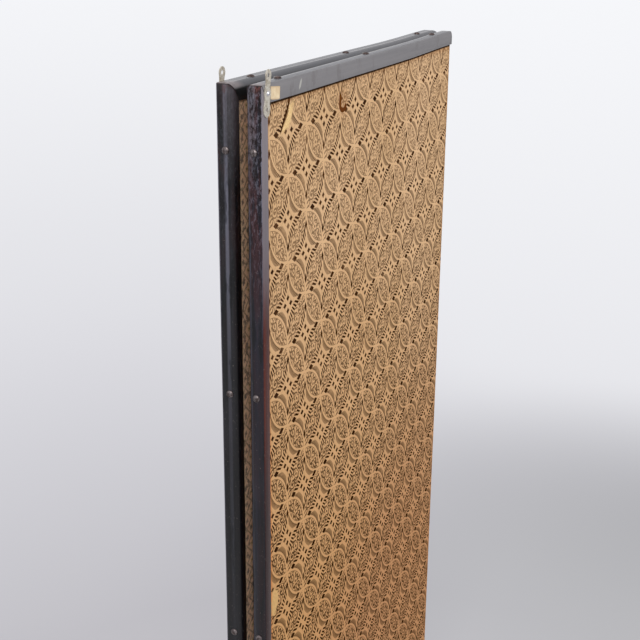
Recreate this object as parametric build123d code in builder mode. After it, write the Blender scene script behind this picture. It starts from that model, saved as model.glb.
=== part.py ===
from build123d import *
import math
import os

# Two-leaf folding screen (byobu), millimetres.
# X runs along the near leaf from its free edge (-X) to the fold (+X), Y from its
# back (-Y) to its front (+Y), and Z is up. The origin is the middle of the near
# leaf's underside. The rear leaf stands in front of the near one, folded face to
# face with it and a little open. Each piece is drawn on the near leaf, and the
# rear leaf's piece is its mirror image, swung open about the fold.

os.makedirs("parts", exist_ok=True)

# leaf
leaf_width = 755.0
leaf_height = 1500.0

# lacquered outer frame: flat back, rounded front
frame_depth = 22.5
stile_width = 17.0
rail_width = 23.0
outer_round = 9.5
inner_round = 2.0
back_round = 0.6
corner_round = 4.0

# body of the leaf inside the frame: a wooden lattice papered on both sides
core_depth = 14.5
lining_thickness = 0.6
facing_thickness = 0.4
core_member_width = 24.0
lath_width = 9.0
upright_lath_count = 7
cross_lath_count = 13
tenon_length = 6.0
tenon_thickness = 4.0
fold_recess = 1.6

# brocade border round the picture field
border_width = 36.0
border_joint = 0.1

# round-head frame nails
nail_head_radius = 5.0
nail_head_height = 2.6
nail_shank_radius = 1.0
nail_shank_length = 33.0
stile_nail_inset = 80.0
stile_nail_pitch = 315.0
rail_nail_free_inset = 68.0
rail_nail_pitch = 300.0
rail_nail_fold_inset = 80.0

# flat-head nails under the bottom rail, let in flush so that the leaf stands level
foot_nail_head_radius = 2.2
foot_nail_head_thickness = 0.8
foot_nail_sink = 0.3

# three-lobed hanging plates: a narrow tongue above, two wider lobes, a pointed foot
plate_thickness = 1.2
plate_inset = 14.5
plate_drop = 11.2
plate_top_pitch = 21.0
plate_top_radius = 7.2
plate_middle_radius = 8.8
plate_bottom_pitch = 19.0
plate_bottom_radius = 8.6
plate_tip_pitch = 27.0
plate_tip_radius = 1.5
plate_waist_width = 13.6
plate_waist_round = 3.0
plate_eye_radius = 2.85
plate_lower_eye_radius = 2.4
plate_lean = 7.0

# round-head screws that hold the plates
screw_head_radius = 3.2
screw_head_height = 1.9
screw_shank_radius = 1.4
screw_shank_length = 13.0
screw_slot_width = 0.8
screw_slot_depth = 0.7

# blank paper tag on the near leaf's top rail
tag_width = 26.0
tag_height = 15.5
tag_thickness = 0.3
tag_inset = 24.0
tag_drop = 13.2
tag_lean = 6.0

# paper hinge at the fold: bands that pass by turns from the near back to the rear
# front, and from the near front to the rear back
band_count = 6
band_thickness = 0.4
band_spacing = 3.0
band_edge_gap = 0.3
tail_lap = 3.0
crease_gap = 0.2

# fold
leaf_gap = 2.0
fold_reach = 0.3
rest_opening = 1.0

# clearances
joint_gap = 0.05
shank_gap = 0.04

# the leaf's own planes
x_free = -leaf_width / 2
x_fold = leaf_width / 2
y_back = -frame_depth / 2
y_front = frame_depth / 2
z_mid = leaf_height / 2

# the core's planes
core_left = x_free + stile_width + joint_gap
core_right = x_fold - fold_recess
core_bottom = rail_width + joint_gap
core_top = leaf_height - rail_width - joint_gap
core_width = core_right - core_left
core_height = core_top - core_bottom
core_x = (core_left + core_right) / 2
lining_y = core_depth / 2 + lining_thickness / 2
facing_y = core_depth / 2 + lining_thickness + facing_thickness / 2
papered_y = core_depth / 2 + lining_thickness + facing_thickness

# the lattice's openings, inside the core's own frame
bay_width = core_width - 2 * core_member_width
bay_height = core_height - 2 * core_member_width
upright_pitch = bay_width / (upright_lath_count + 1)
cross_pitch = bay_height / (cross_lath_count + 1)
upright_places = [
    core_x + upright_pitch * (i - (upright_lath_count - 1) / 2)
    for i in range(upright_lath_count)
]
cross_places = [
    z_mid + cross_pitch * (i - (cross_lath_count - 1) / 2) for i in range(cross_lath_count)
]

# the fold's axis and the plane that mirrors one leaf on to the other
fold_x = x_fold + fold_reach
fold_y = y_front + leaf_gap / 2
fold_axis = Axis((fold_x, fold_y, 0), (0, 0, -1))
mirror_plane = Plane.XZ.offset(-fold_y)

# nail seats, on planes that face out of the frame
stile_nail_heights = [
    stile_nail_inset,
    stile_nail_inset + stile_nail_pitch,
    z_mid,
    leaf_height - stile_nail_inset - stile_nail_pitch,
    leaf_height - stile_nail_inset,
]
rail_nail_places = [
    x_free + rail_nail_free_inset,
    x_free + rail_nail_free_inset + rail_nail_pitch,
    x_fold - rail_nail_fold_inset,
]
stile_nail_seats = [Plane((x_free, 0, z), z_dir=(-1, 0, 0)) for z in stile_nail_heights]
top_nail_seats = [Plane((x, 0, leaf_height), z_dir=(0, 0, 1)) for x in rail_nail_places]
bottom_nail_seats = [Plane((x, 0, 0), z_dir=(0, 0, -1)) for x in rail_nail_places]

# the hanging plate's plane on the frame's back, leaning towards the fold
lean = math.radians(plate_lean)
plate_plane = Plane(
    (x_free + plate_inset, y_back, leaf_height - plate_drop),
    x_dir=(math.cos(lean), 0, -math.sin(lean)),
    z_dir=(0, -1, 0),
)


def frame_section(width):
    # Across from the member's outer side, then from its back to its front.
    with BuildSketch() as section:
        with BuildLine():
            Polyline((0, 0), (width, 0), (width, frame_depth), (0, frame_depth), close=True)
        make_face()
        fillet(section.vertices().sort_by_distance((0, frame_depth))[0], outer_round)
        fillet(section.vertices().sort_by_distance((width, frame_depth))[0], inner_round)
        fillet(section.vertices().sort_by_distance((0, 0))[0], back_round)
    return section.sketch


def leaf_outline(*corners):
    # A member's outline seen square on, inside the leaf's own rounded outline.
    with BuildSketch() as outline:
        with BuildLine():
            Polyline(*corners, close=True)
        make_face()
        with Locations((0, z_mid)):
            RectangleRounded(leaf_width, leaf_height, corner_round, mode=Mode.INTERSECT)
    return outline.sketch


def half_dome(radius, height, shank_radius, shank_length):
    # Half section of a domed head on a shank, with the head's underside at zero.
    sphere = (radius**2 + height**2) / (2 * height)
    half_angle = math.asin(radius / sphere) / 2
    middle = (
        sphere * math.sin(half_angle),
        sphere * math.cos(half_angle) - sphere + height,
    )
    with BuildSketch() as half:
        with BuildLine():
            ThreePointArc((0, height), middle, (radius, 0))
            Polyline(
                (radius, 0),
                (shank_radius, 0),
                (shank_radius, -shank_length),
                (0, -shank_length),
                (0, height),
            )
        make_face()
    return half.sketch


def drill_nail_holes(*seats):
    with Locations(*seats):
        Hole(nail_shank_radius + shank_gap, nail_shank_length + joint_gap)


def drill_screw_hole():
    with Locations(plate_plane):
        Hole(screw_shank_radius + shank_gap, screw_shank_length - plate_thickness + joint_gap)


def save(piece, name):
    piece.label = name
    export_step(piece, f"parts/{name}.step")


def to_rear_leaf(piece):
    return mirror(piece, about=mirror_plane).rotate(fold_axis, rest_opening)


def save_pair(piece, name):
    save(piece, f"near_{name}")
    save(to_rear_leaf(piece), f"rear_{name}")


# ---- outer frame ----

with BuildPart() as stile:
    with BuildSketch(Plane((x_free, y_back, 0))):
        add(frame_section(stile_width))
    extrude(amount=leaf_height)
    with BuildSketch(Plane.XZ):
        outline = leaf_outline(
            (x_free, 0),
            (x_free, leaf_height),
            (x_free + stile_width, leaf_height - rail_width),
            (x_free + stile_width, rail_width),
        )
        add(outline)
    extrude(amount=frame_depth, both=True, mode=Mode.INTERSECT)
    drill_nail_holes(*stile_nail_seats)
    drill_screw_hole()
save_pair(stile.part, "stile")

with BuildPart() as top_rail:
    with BuildSketch(Plane((x_free, y_back, leaf_height), x_dir=(0, 0, -1), z_dir=(1, 0, 0))):
        add(frame_section(rail_width))
    extrude(amount=leaf_width)
    with BuildSketch(Plane.XZ):
        outline = leaf_outline(
            (x_free + joint_gap, leaf_height),
            (x_fold, leaf_height),
            (x_fold, leaf_height - rail_width),
            (x_free + stile_width + joint_gap, leaf_height - rail_width),
        )
        add(outline)
    extrude(amount=frame_depth, both=True, mode=Mode.INTERSECT)
    drill_nail_holes(*top_nail_seats)
    drill_screw_hole()
save_pair(top_rail.part, "top_rail")

with BuildPart() as bottom_rail:
    with BuildSketch(Plane((x_fold, y_back, 0), x_dir=(0, 0, 1), z_dir=(-1, 0, 0))):
        add(frame_section(rail_width))
    extrude(amount=leaf_width)
    with BuildSketch(Plane.XZ):
        outline = leaf_outline(
            (x_free + joint_gap, 0),
            (x_fold, 0),
            (x_fold, rail_width),
            (x_free + stile_width + joint_gap, rail_width),
        )
        add(outline)
    extrude(amount=frame_depth, both=True, mode=Mode.INTERSECT)
    drill_nail_holes(*bottom_nail_seats)
    with Locations(*bottom_nail_seats):
        Hole(foot_nail_head_radius + shank_gap, foot_nail_sink + foot_nail_head_thickness)
save_pair(bottom_rail.part, "bottom_rail")

# ---- core: two stiles and two rails half-lapped at the corners ----


def core_stile_outline(left):
    with Locations((left + core_member_width / 2, 0, z_mid)):
        Box(core_member_width, core_depth, core_height)


def cut_front_laps(left):
    # The front half goes at both ends, where the core rails cross.
    for end in (core_bottom, core_top):
        with Locations((left + core_member_width / 2, core_depth / 2, end)):
            Box(
                core_member_width,
                core_depth + joint_gap,
                2 * core_member_width + 2 * joint_gap,
                mode=Mode.SUBTRACT,
            )


def cut_stile_mortises(inner_side):
    # One mortise for each cross lath's tenon.
    with Locations(*[(inner_side, 0, z) for z in cross_places]):
        Box(
            2 * tenon_length + 2 * joint_gap,
            tenon_thickness + 2 * joint_gap,
            lath_width + 2 * joint_gap,
            mode=Mode.SUBTRACT,
        )


with BuildPart() as core_free_stile:
    core_stile_outline(core_left)
    cut_front_laps(core_left)
    cut_stile_mortises(core_left + core_member_width)
    drill_nail_holes(*stile_nail_seats, *top_nail_seats, *bottom_nail_seats)
save_pair(core_free_stile.part, "core_free_stile")

with BuildPart() as core_fold_stile:
    core_stile_outline(core_right - core_member_width)
    cut_front_laps(core_right - core_member_width)
    cut_stile_mortises(core_right - core_member_width)
    drill_nail_holes(*top_nail_seats, *bottom_nail_seats)
save_pair(core_fold_stile.part, "core_fold_stile")


def core_rail(bottom, inner_side):
    with Locations((core_x, 0, bottom + core_member_width / 2)):
        Box(core_width, core_depth, core_member_width)
    # The back half goes at both ends, where the core stiles cross.
    for end in (core_left, core_right):
        with Locations((end, -core_depth / 2, bottom + core_member_width / 2)):
            Box(
                2 * core_member_width + 2 * joint_gap,
                core_depth + joint_gap,
                core_member_width,
                mode=Mode.SUBTRACT,
            )
    # One mortise for each upright lath's tenon.
    with Locations(*[(x, 0, inner_side) for x in upright_places]):
        Box(
            lath_width + 2 * joint_gap,
            tenon_thickness + 2 * joint_gap,
            2 * tenon_length + 2 * joint_gap,
            mode=Mode.SUBTRACT,
        )


with BuildPart() as core_top_rail:
    core_rail(core_top - core_member_width, core_top - core_member_width)
    drill_nail_holes(*stile_nail_seats, *top_nail_seats)
save_pair(core_top_rail.part, "core_top_rail")

with BuildPart() as core_bottom_rail:
    core_rail(core_bottom, core_bottom + core_member_width)
    drill_nail_holes(*stile_nail_seats, *bottom_nail_seats)
save_pair(core_bottom_rail.part, "core_bottom_rail")

# ---- lattice: upright and cross laths, half-lapped where they cross ----

with BuildPart() as upright_lath:
    with Locations((0, 0, z_mid)):
        Box(lath_width, core_depth, bay_height - 2 * joint_gap)
        Box(lath_width, tenon_thickness, bay_height + 2 * tenon_length)
    with Locations(*[(0, core_depth / 2, z) for z in cross_places]):
        Box(
            lath_width,
            core_depth + joint_gap,
            lath_width + 2 * joint_gap,
            mode=Mode.SUBTRACT,
        )

with BuildPart() as upright_laths:
    with Locations(*[(x, 0, 0) for x in upright_places]):
        add(upright_lath.part)
save_pair(upright_laths.part, "upright_laths")

with BuildPart() as cross_lath:
    with Locations((core_x, 0, 0)):
        Box(bay_width - 2 * joint_gap, core_depth, lath_width)
        Box(bay_width + 2 * tenon_length, tenon_thickness, lath_width)
    with Locations(*[(x, -core_depth / 2, 0) for x in upright_places]):
        Box(
            lath_width + 2 * joint_gap,
            core_depth + joint_gap,
            lath_width,
            mode=Mode.SUBTRACT,
        )

with BuildPart() as cross_laths:
    with Locations(*[(0, 0, z) for z in cross_places]):
        add(cross_lath.part)
save_pair(cross_laths.part, "cross_laths")

# ---- papers: linings on the core, patterned back, picture field and border ----

with BuildPart() as back_lining:
    with Locations((core_x, -lining_y, z_mid)):
        Box(core_width, lining_thickness, core_height)
save_pair(back_lining.part, "back_lining")

with BuildPart() as front_lining:
    with Locations((core_x, lining_y, z_mid)):
        Box(core_width, lining_thickness, core_height)
save_pair(front_lining.part, "front_lining")

with BuildPart() as back_paper:
    with Locations((core_x, -facing_y, z_mid)):
        Box(core_width, facing_thickness, core_height)
save_pair(back_paper.part, "back_paper")

with BuildPart() as picture_field:
    with Locations((core_x, facing_y, z_mid)):
        Box(core_width - 2 * border_width, facing_thickness, core_height - 2 * border_width)
save_pair(picture_field.part, "picture_field")

with BuildPart() as border:
    with Locations((core_x, facing_y, z_mid)):
        with GridLocations(core_width - border_width, 0, 2, 1):
            Box(border_width - border_joint, facing_thickness, core_height)
    for z in (core_bottom + border_width / 2, core_top - border_width / 2):
        with Locations((core_x, facing_y, z)):
            Box(core_width - 2 * border_width, facing_thickness, border_width - border_joint)
save_pair(border.part, "border")

# ---- nails: domed ones in the stile's side and the top rail, flush ones below ----

with BuildPart() as nail:
    with BuildSketch(Plane.XZ):
        add(half_dome(nail_head_radius, nail_head_height, nail_shank_radius, nail_shank_length))
    revolve(axis=Axis.Z)

with BuildPart() as stile_nails:
    with Locations(*stile_nail_seats):
        add(nail.part)
save_pair(stile_nails.part, "stile_nails")

with BuildPart() as top_nails:
    with Locations(*top_nail_seats):
        add(nail.part)
save_pair(top_nails.part, "top_nails")

with BuildPart() as foot_nail:
    with BuildSketch(Plane.XY.offset(-foot_nail_sink)):
        Circle(foot_nail_head_radius)
    extrude(amount=-foot_nail_head_thickness)
    with BuildSketch(Plane.XY.offset(-foot_nail_sink)):
        Circle(nail_shank_radius)
    extrude(amount=foot_nail_sink - nail_shank_length)

with BuildPart() as bottom_nails:
    with Locations(*bottom_nail_seats):
        add(foot_nail.part)
save_pair(bottom_nails.part, "bottom_nails")

# ---- hanging plate and its screw ----

with BuildSketch() as plate_foot:
    with Locations((0, -plate_bottom_pitch)):
        Circle(plate_bottom_radius)
    with Locations((0, -plate_tip_pitch)):
        Circle(plate_tip_radius)
    make_hull()

with BuildPart() as hanging_plate:
    with BuildSketch(plate_plane):
        Circle(plate_middle_radius)
        with Locations((0, plate_top_pitch)):
            Circle(plate_top_radius)
        with Locations((0, -plate_bottom_pitch)):
            Circle(plate_bottom_radius)
        with Locations((0, (plate_top_pitch - plate_bottom_pitch) / 2)):
            Rectangle(plate_waist_width, plate_top_pitch + plate_bottom_pitch)
        fillet(vertices(), plate_waist_round)
        add(plate_foot.sketch)
        Circle(screw_shank_radius + shank_gap, mode=Mode.SUBTRACT)
        with Locations((0, plate_top_pitch)):
            Circle(plate_eye_radius, mode=Mode.SUBTRACT)
        with Locations((0, -plate_bottom_pitch)):
            Circle(plate_lower_eye_radius, mode=Mode.SUBTRACT)
    extrude(amount=plate_thickness)
save_pair(hanging_plate.part, "hanging_plate")

with BuildPart() as screw:
    with BuildSketch(Plane.XZ):
        add(
            half_dome(
                screw_head_radius, screw_head_height, screw_shank_radius, screw_shank_length
            )
        )
    revolve(axis=Axis.Z)
    with Locations((0, 0, screw_head_height)):
        Box(2 * screw_head_radius, screw_slot_width, 2 * screw_slot_depth, mode=Mode.SUBTRACT)

with BuildPart() as plate_screw:
    with Locations(plate_plane.offset(plate_thickness)):
        add(screw.part)
save_pair(plate_screw.part, "plate_screw")

# ---- tag ----

tag_place = (
    x_free + tag_inset + tag_width / 2,
    y_back - tag_thickness / 2,
    leaf_height - tag_drop,
)

with BuildPart() as tag:
    with Locations(Location(tag_place, (0, tag_lean, 0))):
        Box(tag_width, tag_thickness, tag_height)
save(tag.part, "near_tag")

# ---- paper hinge: two sets of bands, by turns up the fold ----
# Each band is one strip of paper, drawn in two pieces that meet at its crease on the
# fold's axis: the band itself, which covers one leaf's fold edge, and its tail, which
# is pasted to the other leaf's front corner.


def paper_strips(first, low_y, high_y):
    # Strips that stand on the near leaf's fold edge, in every second zone.
    zone = core_height / band_count
    x = core_right + band_edge_gap + band_thickness / 2
    for i in range(first, band_count, 2):
        with Locations((x, (low_y + high_y) / 2, core_bottom + zone * (i + 0.5))):
            Box(band_thickness, high_y - low_y, zone - band_spacing)


with BuildPart() as back_fold_bands:
    paper_strips(0, -papered_y, fold_y - crease_gap / 2)
save(back_fold_bands.part, "back_fold_bands")

with BuildPart() as back_fold_tails:
    paper_strips(0, papered_y - tail_lap, fold_y - crease_gap / 2)
save(to_rear_leaf(back_fold_tails.part), "rear_band_tails")

with BuildPart() as front_fold_bands:
    paper_strips(1, -papered_y, fold_y - crease_gap / 2)
save(to_rear_leaf(front_fold_bands.part), "front_fold_bands")

with BuildPart() as front_fold_tails:
    paper_strips(1, papered_y - tail_lap, fold_y - crease_gap / 2)
save(front_fold_tails.part, "near_band_tails")
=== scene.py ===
# %% [markdown]
# # A two-leaf folding screen, folded and set down on its foot
#
# A byobu is a pair of light papered panels. Each panel, or leaf, is a lattice of thin
# softwood covered with paper on both sides, with a lacquered wooden frame on three of
# its sides. The fourth side is the fold, where strips of paper pass by turns from one
# leaf to the other and make the hinge.
#
# Each piece here is modelled on the near leaf, in the place it has there, and the rear
# leaf's piece is a copy of it that is mirrored and swung about the fold. All lengths
# are in metres.

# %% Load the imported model
import bmesh
import bpy
import math
import random
from mathutils import Matrix, Vector


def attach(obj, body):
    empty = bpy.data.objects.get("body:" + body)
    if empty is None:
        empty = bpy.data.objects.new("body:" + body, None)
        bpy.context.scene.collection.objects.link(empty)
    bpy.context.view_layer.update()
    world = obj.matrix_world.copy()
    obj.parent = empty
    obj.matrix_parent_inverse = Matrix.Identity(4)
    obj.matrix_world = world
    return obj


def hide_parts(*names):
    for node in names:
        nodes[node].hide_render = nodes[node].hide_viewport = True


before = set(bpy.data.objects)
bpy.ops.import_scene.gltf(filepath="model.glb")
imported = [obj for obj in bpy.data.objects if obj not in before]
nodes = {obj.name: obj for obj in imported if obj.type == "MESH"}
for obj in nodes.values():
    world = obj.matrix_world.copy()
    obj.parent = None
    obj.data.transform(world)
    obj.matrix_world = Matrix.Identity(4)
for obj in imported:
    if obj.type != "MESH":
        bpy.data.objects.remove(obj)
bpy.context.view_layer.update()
MM = 0.001

# %% Sizes of a leaf
LEAF_WIDTH = 755 * MM
LEAF_HEIGHT = 1500 * MM
FRAME_DEPTH = 22.5 * MM
STILE_WIDTH = 17 * MM
RAIL_WIDTH = 23 * MM
OUTER_ROUND = 9.5 * MM
FREE = -LEAF_WIDTH / 2
FOLD = LEAF_WIDTH / 2
BACK = -FRAME_DEPTH / 2
FRONT = FRAME_DEPTH / 2
FOLD_X = FOLD + 0.3 * MM
FOLD_Y = FRONT + 1 * MM
REST_OPENING = math.radians(1.0)
print("leaf", LEAF_WIDTH, "wide,", LEAF_HEIGHT, "high,", FRAME_DEPTH, "deep")


def rear_leaf_matrix():
    """Mirrors the near leaf about the fold's plane and swings it open about the fold."""
    fold = Matrix.Translation((FOLD_X, FOLD_Y, 0))
    swing = Matrix.Rotation(-REST_OPENING, 4, "Z")
    mirror = Matrix.Diagonal((1, -1, 1, 1))
    return fold @ swing @ mirror @ fold.inverted()


TO_REAR = rear_leaf_matrix()

# %% [markdown]
# ## The camera
#
# The camera stands a little above the screen's top, in front of the free edges, and
# looks down along the near leaf's back, so that the foot stays below the frame. A long
# lens keeps the uprights nearly parallel.

# %% Camera
YAW, PITCH, ROLL = math.radians(22.845 - 90), math.radians(90 - 18.887), math.radians(0.46)
bpy.ops.object.camera_add()
camera = bpy.context.object
camera.name = "camera"
camera.data.sensor_width = 36
camera.data.lens = 66.17
camera.matrix_world = (
    Matrix.Translation((-1.6209, -0.61095, 1.6847))
    @ Matrix.Rotation(YAW, 4, "Z")
    @ Matrix.Rotation(PITCH, 4, "X")
    @ Matrix.Rotation(ROLL, 4, "Z")
)
bpy.context.scene.camera = camera
bpy.context.scene.view_settings.view_transform = "Standard"
print("camera at", [round(v, 3) for v in camera.matrix_world.translation])

# %% [markdown]
# ## Writing a finish as sums
#
# A procedural finish is arithmetic on the place of each point. The small class below
# wraps a node's output, so that `a * b + 1` adds the Math nodes by itself, and `Finish`
# adds every other node by its type, its settings and its inputs. Wear and dirt are laid
# over a colour one after another by `layers`, as they came to lie on the real piece.


# %% Shader arithmetic
class Field:
    """A number that changes over a surface."""

    def __init__(self, finish, socket):
        self.finish, self.socket = finish, socket

    def math(self, operation, *others):
        return self.finish.node("ShaderNodeMath", {"operation": operation}, [self, *others])

    def __add__(self, other):
        return self.math("ADD", other)

    def __mul__(self, other):
        return self.math("MULTIPLY", other)

    def __sub__(self, other):
        return self.math("SUBTRACT", other)

    def __truediv__(self, other):
        return self.math("DIVIDE", other)

    def __rtruediv__(self, other):
        return self.finish.node("ShaderNodeMath", {"operation": "DIVIDE"}, [other, self])

    def __rsub__(self, other):
        return self.finish.node("ShaderNodeMath", {"operation": "SUBTRACT"}, [other, self])

    __radd__ = __add__
    __rmul__ = __mul__

    def abs(self):
        return self.math("ABSOLUTE")

    def sine(self):
        return self.math("SINE")

    def root(self):
        return self.math("SQRT")

    def least(self, other):
        return self.math("MINIMUM", other)

    def most(self, other):
        return self.math("MAXIMUM", other)

    def above(self, edge, soft):
        """0 well below the edge and 1 well above it, with a soft step between."""
        return self.finish.step(self, edge - soft / 2, edge + soft / 2, 0.0, 1.0)

    def below(self, edge, soft):
        return self.finish.step(self, edge - soft / 2, edge + soft / 2, 1.0, 0.0)

    def near(self, middle, half_width, soft):
        """1 within half_width of the middle, and 0 outside it."""
        return (self - middle).abs().below(half_width, soft)


# %% Nodes of a finish
class Finish:
    """A material, or a world, under construction: node() adds one node to it."""

    def __init__(self, name, kind="materials"):
        self.material = getattr(bpy.data, kind).new(name)
        self.material.use_nodes = True
        self.tree = self.material.node_tree
        self.tree.nodes.clear()

    def node(self, kind, settings=None, inputs=(), output=0):
        made = self.tree.nodes.new(kind)
        for key, value in (settings or {}).items():
            setattr(made, key, value)
        pairs = inputs.items() if isinstance(inputs, dict) else enumerate(inputs)
        for key, value in pairs:
            if isinstance(value, Field):
                self.tree.links.new(value.socket, made.inputs[key])
            else:
                made.inputs[key].default_value = value
        return Field(self, made.outputs[output]) if len(made.outputs) else None

    def step(self, value, low, high, at_low, at_high):
        settings = {"interpolation_type": "SMOOTHSTEP"}
        return self.node("ShaderNodeMapRange", settings, [value, low, high, at_low, at_high])

    def place(self):
        """The point's own place on the object, as a vector."""
        return self.node("ShaderNodeTexCoord", output=3)

    def leaf_place(self):
        """The place on the near leaf where the piece was modelled, also on the rear leaf."""
        return self.node("ShaderNodeAttribute", {"attribute_name": "leaf_place"}, output=1)

    def parts(self, vector):
        return [
            self.node("ShaderNodeSeparateXYZ", inputs=[vector], output=axis) for axis in range(3)
        ]

    def vector(self, x, y, z):
        return self.node("ShaderNodeCombineXYZ", inputs=[x, y, z])

    def scaled(self, vector, scale, shift):
        settings = {"operation": "MULTIPLY_ADD"}
        return self.node("ShaderNodeVectorMath", settings, [vector, scale, shift])

    def noise(self, vector, scale, detail=3.0, roughness=0.5, distortion=0.0, shift=(0, 0, 0)):
        """Noise at one scale, or at a scale for each axis and shifted to another place."""
        if isinstance(scale, (tuple, list)):
            vector, scale = self.scaled(vector, scale, shift), 1.0
        inputs = {
            "Vector": vector,
            "Scale": scale,
            "Detail": detail,
            "Roughness": roughness,
            "Distortion": distortion,
        }
        return self.node("ShaderNodeTexNoise", inputs=inputs)

    def mix(self, share, first, second):
        """A colour: first where share is 0, second where it is 1."""
        settings = {"data_type": "RGBA"}
        made = {0: share, 6: rgba(first), 7: rgba(second)}
        return self.node("ShaderNodeMix", settings, made, output=2)

    def layers(self, colour, *layers):
        """Lays tones over a colour in order, each with its own share."""
        for share, tone in layers:
            colour = self.mix(share, colour, tone)
        return colour

    def bump(self, height, distance, strength=1.0):
        inputs = {"Strength": strength, "Distance": distance, "Height": height}
        return self.node("ShaderNodeBump", inputs=inputs)

    def surface(self, **inputs):
        """Ends the finish with a Principled shader: Base_Color for Base Color, and so on."""
        named = {key.replace("_", " "): value for key, value in inputs.items()}
        shader = self.node("ShaderNodeBsdfPrincipled", inputs=named)
        self.node("ShaderNodeOutputMaterial", inputs={"Surface": shader})
        return self.material


def rgba(colour):
    """The linear colour for three 0 to 255 screen values; a Field is passed on."""
    if isinstance(colour, Field):
        return colour
    values = [value / 255 for value in colour]
    linear = [v / 12.92 if v <= 0.04045 else ((v + 0.055) / 1.055) ** 2.4 for v in values]
    return (*linear, 1.0)


# %% [markdown]
# ## Floor and light
#
# A pale floor carries the screen and its soft shadow. Painted shade makes it a little greyer
# round the object than far off, as a floor looks under a large soft lamp. It is painted lighter
# on the side that the near back paper faces, and darker in one soft painted shadow pool. The
# world beyond it shows nearly white to the camera. One large lamp stands high on the free
# edges' side, and two weaker ones light the two backs.

# %% Floor
bpy.ops.object.select_all(action="DESELECT")
bpy.ops.mesh.primitive_plane_add(size=120, location=(0, 0, -0.2 * MM))
floor = bpy.context.object
floor.name = "floor"
# The middle of the painted shadow pool on the floor.
SHADOW_POOL_X, SHADOW_POOL_Y = 1.3, -0.5  # the middle of the soft darker pool


def floor_finish():
    """A matt floor that also glows a little for the camera, with painted shade near the screen, a
    painted lighter side and a painted shadow pool.
    """
    finish = Finish("pale_floor")
    x, y, _ = finish.parts(finish.place())
    reach = (x * x + y * y).root()
    near_grey, far_white = (174, 171, 181), (251, 252, 255)
    # Painted shade: the floor is greyer near the screen.
    colour = finish.mix(1.0 - 1.7 / (reach + 0.7).most(1.7), near_grey, far_white)
    # Painted light: the floor is lighter on the side that the near back paper faces.
    painted_light_side = (y - x * 0.45).below(0.0, 1.6) * reach.above(2.2, 1.2)
    colour = finish.mix(painted_light_side * 0.42, colour, far_white)
    # Painted shadow: a soft darker pool on the floor.
    past_x, past_y = x - SHADOW_POOL_X, y - SHADOW_POOL_Y
    shadow_pool = (past_x * past_x + past_y * past_y).root()
    colour = finish.mix(shadow_pool.below(0.8, 1.5) * 0.85, colour, (150, 150, 154))
    glow = finish.node("ShaderNodeEmission", inputs={"Color": colour})
    matt = finish.node("ShaderNodeBsdfDiffuse", inputs={"Color": (0.62, 0.62, 0.63, 1)})
    seen_directly = finish.node("ShaderNodeLightPath")
    share = finish.step(reach, 0.6, 3.0, 0.5, 0.96)
    both = finish.node("ShaderNodeMixShader", inputs=[seen_directly * share, matt, glow])
    finish.node("ShaderNodeOutputMaterial", inputs={"Surface": both})
    return finish.material


floor.data.materials.append(floor_finish())
print("floor finish", floor.data.materials[0].name)

# %% World and lamps
studio = Finish("studio", "worlds")
bpy.context.scene.world = studio.material
seen = studio.node("ShaderNodeBackground", inputs={"Color": (0.93, 0.93, 0.96, 1)})
lit = studio.node(
    "ShaderNodeBackground", inputs={"Color": (0.95, 0.97, 1.0, 1), "Strength": 0.62}
)
camera_ray = studio.node("ShaderNodeLightPath", output="Is Camera Ray")
glossy_ray = studio.node("ShaderNodeLightPath", output="Is Glossy Ray")
shade = studio.node("ShaderNodeMixShader", inputs=[camera_ray.most(glossy_ray), lit, seen])
studio.node("ShaderNodeOutputWorld", inputs={"Surface": shade})


def soft_lamp(name, place, aim, size, power, colour):
    bpy.ops.object.light_add(type="AREA", location=place)
    lamp = bpy.context.object
    lamp.name = name
    lamp.data.shape = "DISK"
    lamp.data.size = size
    lamp.data.energy = power
    lamp.data.color = colour
    lamp.rotation_euler = (Vector(aim) - Vector(place)).to_track_quat("-Z", "Y").to_euler()


soft_lamp("window", (-3.2, -1.2, 3.4), (-0.1, 0, 1.0), 2.4, 90, (1.0, 0.99, 0.97))
soft_lamp("fill", (1.2, -3.6, 2.4), (0, 0, 0.9), 2.6, 60, (1.0, 0.98, 0.95))
soft_lamp("back_fill", (2.0, 3.4, 2.6), (0, 0, 0.9), 3.0, 60, (1.0, 0.99, 0.98))

# %% [markdown]
# ## Small helpers for shaping
#
# Everything is modelled as by hand: a primitive at its size and place, edit-mode tools
# on the edges or faces that a short test picks by their place, and modifiers that are
# applied. `keep_place` stores each point's place on the near leaf before the piece is
# copied to the rear leaf, so that both leaves can wear the same finish.


# %% Shaping helpers
def deselect_all():
    if bpy.context.object and bpy.context.object.mode != "OBJECT":
        bpy.ops.object.mode_set(mode="OBJECT")
    bpy.ops.object.select_all(action="DESELECT")


def activate(piece):
    deselect_all()
    piece.select_set(True)
    bpy.context.view_layer.objects.active = piece


def named(piece, name):
    piece.name = name
    piece.data.name = name
    return piece


def settle(piece):
    """Moves a piece's place, turn and size into its mesh."""
    activate(piece)
    bpy.ops.object.transform_apply(location=True, rotation=True, scale=True)
    return piece


def block(name, low, high):
    low, high = Vector(low), Vector(high)
    deselect_all()
    bpy.ops.mesh.primitive_cube_add(size=1, location=(low + high) / 2, scale=high - low)
    return settle(named(bpy.context.object, name))


def pick(piece, kind, wanted):
    """Goes into edit mode and selects the edges, faces or verts that the test wants."""
    activate(piece)
    bpy.ops.object.mode_set(mode="EDIT")
    bpy.ops.mesh.select_mode(type={"verts": "VERT", "edges": "EDGE", "faces": "FACE"}[kind])
    bpy.ops.mesh.select_all(action="DESELECT")
    mesh = bmesh.from_edit_mesh(piece.data)
    for element in getattr(mesh, kind):
        element.select_set(bool(wanted(element)))
    mesh.select_flush_mode()
    bmesh.update_edit_mesh(piece.data)


def done_editing():
    bpy.ops.object.mode_set(mode="OBJECT")


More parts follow.
